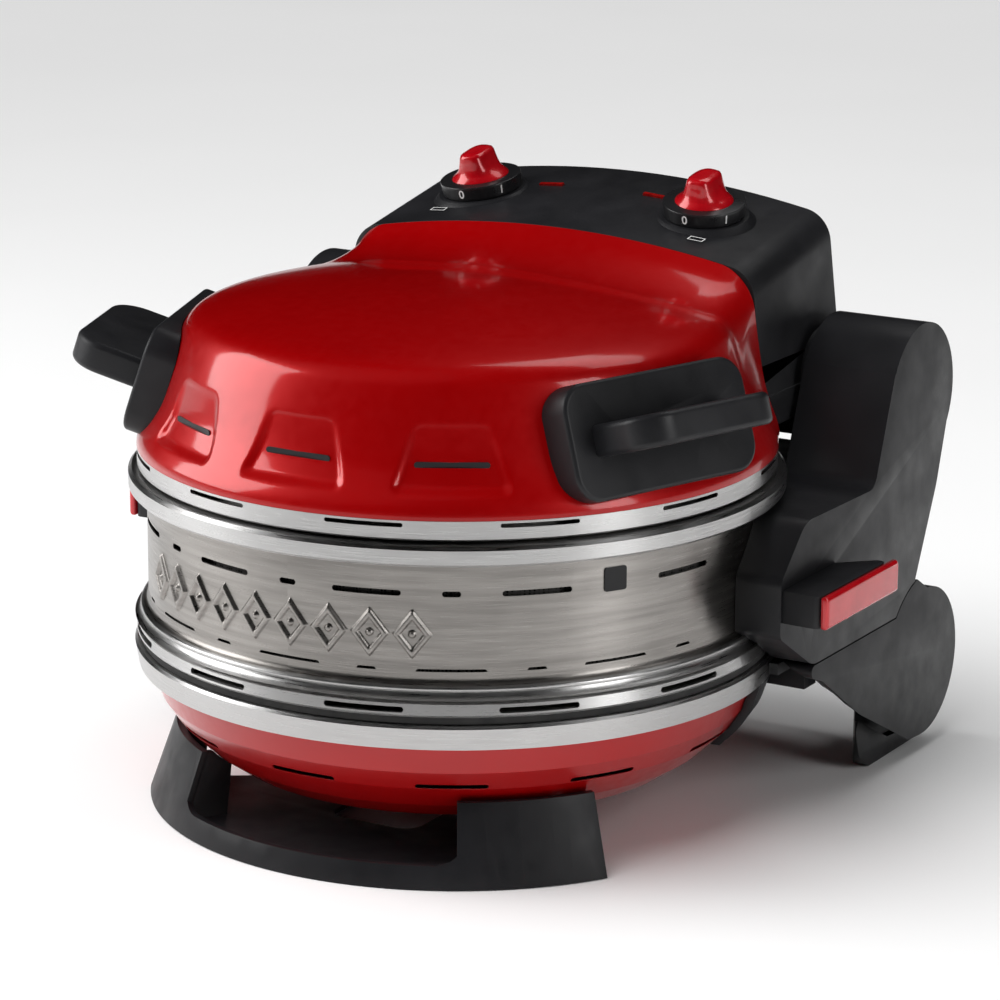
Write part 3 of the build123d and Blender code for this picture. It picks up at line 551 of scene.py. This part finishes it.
def lid_shell():
    points, rows, turns = lid_surface()
    faces = ring_faces(rows, turns)
    last = (rows - 1) * turns
    faces += [(last + c, last + (c + 1) % turns, len(points) - 1) for c in range(turns)]
    mesh = mesh_from("lid_shell_enamel", [place(*p) for p in points], faces)
    shell = bmesh.new()
    shell.from_mesh(mesh)
    bmesh.ops.bisect_plane(shell, geom=shell.verts[:] + shell.edges[:] + shell.faces[:], dist=1e-7,
                           plane_co=place(0, SEAM_Y, 0), plane_no=(0, 1, 0), clear_outer=True)
    bmesh.ops.recalc_face_normals(shell, faces=shell.faces)
    shell.to_mesh(mesh)
    shell.free()
    piece = piece_from("lid_shell_enamel", mesh, "lid", "red_enamel", 50.0)
    skin = piece.modifiers.new("sheet", "SOLIDIFY")
    skin.thickness = SHEET * MM
    skin.offset = -1
    apply_modifiers(piece)
    cut_out(piece, [rounded_bar("slot", a, SLOT_CUT_R, SLOT_Z, SLOT_WIDE, SLOT_HIGH, SLOT_CUT_DEEP)
                    for a in WINDOWS])
    for polygon in piece.data.polygons:
        polygon.use_smooth = True
    piece.data.set_sharp_from_angle(angle=math.radians(50))
    paint(piece, "red_enamel")
    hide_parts("lid_shell")


def slot_screens():
    """Black plates close behind the windows' slots: painted shade for the dark inside seen through them."""
    for index, angle in enumerate(WINDOWS):
        mesh = rounded_bar(f"slot_shade_plate_{index}", angle, SHADE_PLATE_R, SLOT_Z, SLOT_WIDE + LAP_WIDE,
                           SLOT_HIGH + LAP_HIGH, SHADE_PLATE_THICK)
        piece_from(mesh.name, mesh, "lid", "black_plastic")


lid_shell()
slot_screens()


# ---------------------------------------------------------------- the steel band
EMBOSS_FROM, EMBOSS_TO = -41.0, 27.0         # angles that the pressed row covers
EMBOSS_COUNT = 9
EMBOSS_Z = 147.0
EMBOSS_HIGH = 1.9
LOZENGE = (8.6, 11.0, 3.4)                   # half width, half height and line, in mm
STUD_R = 2.0
PATCH_ANGLES, PATCH_Z = (-44.0, 34.0), (131.0, 163.0)   # where the row's mesh is made
PATCH_SINK = 0.06                            # mm that its flat ground lies inside the band
FOOT_IN, FOOT_DOWN = 1.0, 0.4                # mm from the foot's outer face to its inner one
PLATE_ANGLE, PLATE_Z = 59.5, 173.0
PLATE_WIDE, PLATE_HIGH = 4.4, 13.6           # degrees and mm
PLATE_THICK, PLATE_CORNER = 1.4, 1.5


def lozenge(u, v):
    """Signed distance to a lozenge outline with a stud in its middle."""
    wide, tall, line = LOZENGE
    edge = (np.abs(u) / wide + np.abs(v) / tall - 1) * wide * tall / math.hypot(wide, tall)
    return np.minimum(np.abs(edge) - line / 2, np.hypot(u, v) - STUD_R)


def band_emboss():
    """Plain pressed ornament on the band: a row of upright lozenges."""
    step = 0.22
    angles = np.arange(PATCH_ANGLES[0], PATCH_ANGLES[1] + step, step)
    heights = np.arange(PATCH_Z[0], PATCH_Z[1] + 0.01, 0.55)
    angle, z = np.meshgrid(angles, heights, indexing="ij")
    u = np.radians(angle) * BAND_R
    distance = np.full(angle.shape, 99.0)
    for i in range(EMBOSS_COUNT):
        centre = EMBOSS_FROM + (EMBOSS_TO - EMBOSS_FROM) * (i + 0.5) / EMBOSS_COUNT
        distance = np.minimum(distance, lozenge(u - math.radians(centre) * BAND_R, z - EMBOSS_Z))
    rise = np.clip(-distance / 1.5 + 0.35, 0, 1)
    rise = rise * rise * (3 - 2 * rise)
    radius = BAND_R - PATCH_SINK + EMBOSS_HIGH * rise
    vertices = [around(a, r, h) for a, r, h in zip(angle.ravel(), radius.ravel(), z.ravel())]
    rows, columns = angle.shape
    faces = [(i * columns + j, (i + 1) * columns + j, (i + 1) * columns + j + 1, i * columns + j + 1)
             for i in range(rows - 1) for j in range(columns - 1)
             if rise[i:i + 2, j:j + 2].max() > 0]
    mesh = mesh_from("band_emboss", vertices, faces)
    tidy = bmesh.new()
    tidy.from_mesh(mesh)
    bmesh.ops.delete(tidy, geom=[v for v in tidy.verts if not v.link_faces], context="VERTS")
    tidy.to_mesh(mesh)
    tidy.free()
    piece_from("band_emboss", mesh, "middle", "stainless_steel", 80.0)


def band_foot():
    """Swept foot of the band, with a pressed bead, down to the flange."""
    cove = arc_points((183.6, 122.6), 3.5, 180, 250, 8)
    bead = arc_points((183.2, 117.2), 1.5, 60, -60, 7)
    flare = arc_points((188.6, 117.0), 5.0, 195, 262, 8)
    outer = [(180.05, 126.0)] + cove + bead + flare
    inner = [(r - FOOT_IN, z - FOOT_DOWN) for r, z in reversed(outer)]
    lathe("band_foot", outer + inner, "middle", "stainless_steel")


def band_window():
    """Dark square plate on the band, right of the slots."""
    mesh = rounded_bar("band_window", PLATE_ANGLE, BAND_R, PLATE_Z, PLATE_WIDE, PLATE_HIGH, PLATE_THICK,
                       PLATE_CORNER)
    piece_from(mesh.name, mesh, "middle", "black_plastic")


band_emboss()
band_foot()
band_window()


# ---------------------------------------------------------------- knobs and print
JOINTS = {joint["name"]: joint for joint in frame["record"]["behaviour"]["joints"]}
DIAL_TOP, DIAL_LOW = (25.0, 10.6), (24.2, 2.2)   # radius and height of the dial's wall, in mm
NUMBER_STEP = 60.0                           # degrees between two numbers
NUMBER_HIGH, NUMBER_BOLD = 5.2, 0.12         # mm: height, and how far the outline is moved out
DIGIT_SHARE = 0.7                            # height of a digit in a text of size 1
ICON_AHEAD, ICON_OUT = 33.0, 12.5            # mm from the knob's axis, to the front and to the side
ICON_HALF, ICON_LINE = (5.0, 2.5), 0.6
INK_LIFT, ICON_LIFT = 0.12, 0.35             # mm above the dial's wall and above the knob's foot
# Height, half width, half length and squareness of the grip's sections, from its flared foot up.
GRIP = [(10.7, 17.6, 17.6, 2.0), (11.7, 17.0, 17.2, 2.0), (13.4, 14.6, 15.6, 2.1), (15.6, 12.0, 14.3, 2.3),
        (18.4, 10.2, 13.5, 2.7), (21.6, 9.0, 12.9, 3.0), (24.8, 8.0, 12.4, 3.2), (26.3, 7.3, 11.8, 3.0),
        (27.0, 5.6, 10.4, 2.8), (27.2, 3.0, 7.2, 2.4)]


def knob_axes(side):
    """Foot of the knob and its front, right and up directions, from its joint."""
    joint = JOINTS[f"knob_{side}_turn"]
    up = -Vector(joint["axis"]).normalized()
    front = Vector((0, -1, 0))
    front = (front - up * front.dot(up)).normalized()
    return Vector(joint["pos_m"]), front, up.cross(front), up


def knob_point(axes, angle, radius, height):
    """Point round a knob; radius and height in millimetres."""
    foot, front, right, up = axes
    return foot + (front * math.cos(angle) + right * math.sin(angle)) * radius * MM + up * height * MM


def number_mesh(digit):
    """Flat outline of a digit, centred, in millimetres."""
    text = bpy.data.curves.new("digit", "FONT")
    text.body = str(digit)
    text.size = NUMBER_HIGH / DIGIT_SHARE
    text.offset = NUMBER_BOLD
    text.align_x, text.align_y = "CENTER", "CENTER"
    shape = bpy.data.objects.new("digit", text)
    scene.collection.objects.link(shape)
    graph = bpy.context.evaluated_depsgraph_get()
    mesh = bpy.data.meshes.new_from_object(shape.evaluated_get(graph))
    bpy.data.objects.remove(shape)
    return mesh


def dial_numbers(side):
    """The numbers 0 to 4 on the dial's wall."""
    axes = knob_axes(side)
    joined = bmesh.new()
    slope = (DIAL_TOP[0] - DIAL_LOW[0]) / (DIAL_TOP[1] - DIAL_LOW[1])
    for digit in range(5):
        start = len(joined.verts)
        joined.from_mesh(number_mesh(digit))
        joined.verts.ensure_lookup_table()
        for vertex in joined.verts[start:]:
            height = (DIAL_TOP[1] + DIAL_LOW[1]) / 2 + vertex.co.y
            radius = DIAL_TOP[0] - (DIAL_TOP[1] - height) * slope + INK_LIFT
            angle = math.radians(NUMBER_STEP * digit) + vertex.co.x / radius
            vertex.co = knob_point(axes, angle, radius, height)
    mesh = bpy.data.meshes.new(f"dial_numbers_{side}")
    joined.to_mesh(mesh)
    joined.free()
    piece_from(mesh.name, mesh, f"knob_{side}", "print_ink")


def knob_grip(side):
    """Lacquered grip, flaring from a crowned finger bar to a round foot."""
    foot, front, right, up = knob_axes(side)
    steps = 72
    vertices = []
    for height, wide, long, square in GRIP:
        for i in range(steps):
            a = 2 * math.pi * i / steps
            c, s = math.cos(a), math.sin(a)
            x = math.copysign(abs(c) ** (2 / square), c) * wide
            y = math.copysign(abs(s) ** (2 / square), s) * long
            vertices.append(foot + (right * x + front * y + up * height) * MM)
    faces = ring_faces(len(GRIP), steps)
    faces += [tuple(reversed(range(steps))), tuple(range((len(GRIP) - 1) * steps, len(GRIP) * steps))]
    mesh = mesh_from(f"knob_grip_{side}_lacquered", vertices, faces)
    outward(mesh)
    piece = piece_from(mesh.name, mesh, f"knob_{side}", "red_plastic", 60.0)
    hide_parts(f"knob_grip_{side}")


def dial_icon(side):
    """Plain outlined rectangle printed in front of the dial."""
    foot, front, right, up = knob_axes(side)
    out = ICON_OUT if side == "right" else -ICON_OUT
    wide, deep = ICON_HALF
    corners = [(x, y) for a, b in (ICON_HALF, (wide - ICON_LINE, deep - ICON_LINE))
               for x, y in ((-a, -b), (a, -b), (a, b), (-a, b))]
    vertices = [foot + (right * (out + x) + front * (ICON_AHEAD + y) + up * ICON_LIFT) * MM
                for x, y in corners]
    faces = [(i, (i + 1) % 4, (i + 1) % 4 + 4, i + 4) for i in range(4)]
    mesh = mesh_from(f"dial_icon_{side}", vertices, faces)
    piece_from(mesh.name, mesh, "lid", "print_ink")


for side in ("left", "right"):
    dial_numbers(side)
    knob_grip(side)
    dial_icon(side)


# ---------------------------------------------------------------- stage: floor, lights, camera
def floor():
    mesh = bpy.data.meshes.new("floor")
    grid = bmesh.new()
    bmesh.ops.create_circle(grid, cap_ends=True, segments=96, radius=14.0)
    grid.to_mesh(mesh)
    grid.free()
    piece = bpy.data.objects.new("floor", mesh)
    scene.collection.objects.link(piece)
    p = Paint("floor_paper", (0.93, 0.93, 0.93), 0.85)
    p.tint(p.noise(2.0, 2.0), (0.92, 0.92, 0.92), (0.94, 0.94, 0.94))
    piece.data.materials.append(p.material)


def softbox(name, angle, height, distance, wide, tall, power, colour=(1, 1, 1), aim=(0.0, 0.0, 0.19)):
    """Area light at an angle from the front, aimed at the oven."""
    light = bpy.data.lights.new(name, "AREA")
    light.shape = "RECTANGLE"
    light.size, light.size_y = wide, tall
    light.energy = power
    light.color = colour
    lamp = bpy.data.objects.new(name, light)
    scene.collection.objects.link(lamp)
    a = math.radians(angle)
    lamp.location = Vector((distance * math.sin(a), AXIS_Y - distance * math.cos(a), height))
    lamp.rotation_euler = (Vector(aim) - lamp.location).to_track_quat("-Z", "Y").to_euler()


CAMERA_ANGLE = 31.0                          # degrees right of the front
CAMERA_AWAY, CAMERA_HEIGHT = 2290.4, 787.9   # mm from the axis and above the table
CAMERA_TILT, CAMERA_PAN, CAMERA_ROLL = 14.989, 0.617, 0.264   # degrees down, right of the axis, rolled
CAMERA_LENS, CAMERA_SENSOR = 146.73, 36.0    # mm


def camera():
    """Long lens, looking down a little past the axis."""
    data = bpy.data.cameras.new("camera")
    data.lens = CAMERA_LENS
    data.sensor_width = CAMERA_SENSOR
    lens = bpy.data.objects.new("camera", data)
    scene.collection.objects.link(lens)
    heading, tilt = math.radians(CAMERA_ANGLE - CAMERA_PAN), math.radians(CAMERA_TILT)
    forward = Vector((-math.sin(heading) * math.cos(tilt), math.cos(heading) * math.cos(tilt),
                      -math.sin(tilt)))
    right = forward.cross(Vector((0, 0, 1))).normalized()
    up = right.cross(forward)
    roll = math.radians(CAMERA_ROLL)
    level = right * math.cos(roll) + up * math.sin(roll)
    upright = up * math.cos(roll) - right * math.sin(roll)
    turn = Matrix((level, upright, -forward)).transposed()
    stand = around(CAMERA_ANGLE, CAMERA_AWAY, CAMERA_HEIGHT)
    lens.matrix_world = Matrix.Translation(stand) @ turn.to_4x4()
    scene.camera = lens


def overhead_light(power, spread, lean):
    """Wide soft light from above, which lights the paint without mirroring in it."""
    sun = bpy.data.lights.new("overhead", "SUN")
    sun.energy = power
    sun.angle = math.radians(spread)
    lamp = bpy.data.objects.new("overhead", sun)
    scene.collection.objects.link(lamp)
    lamp.rotation_euler = (math.radians(lean[0]), math.radians(lean[1]), 0)
    lamp.visible_glossy = False


def studio_world(strength):
    """Faint white surround; the scene needs it set before its ray visibility."""
    world = bpy.data.worlds.new("studio")
    world.use_nodes = True
    world.node_tree.nodes["Background"].inputs["Color"].default_value = (1.0, 1.0, 1.0, 1)
    world.node_tree.nodes["Background"].inputs["Strength"].default_value = strength
    scene.world = world
    world.cycles_visibility.glossy = False


floor()
softbox("key_left", -66, 0.95, 1.7, 1.2, 1.2, 20)
softbox("strip_right", 84, 0.75, 1.6, 0.5, 1.1, 7)
softbox("top_back", 165, 1.9, 1.1, 1.6, 0.6, 5)
overhead_light(2.6, 60, (22, -18))
studio_world(0.06)
scene.view_settings.view_transform = "Standard"
camera()
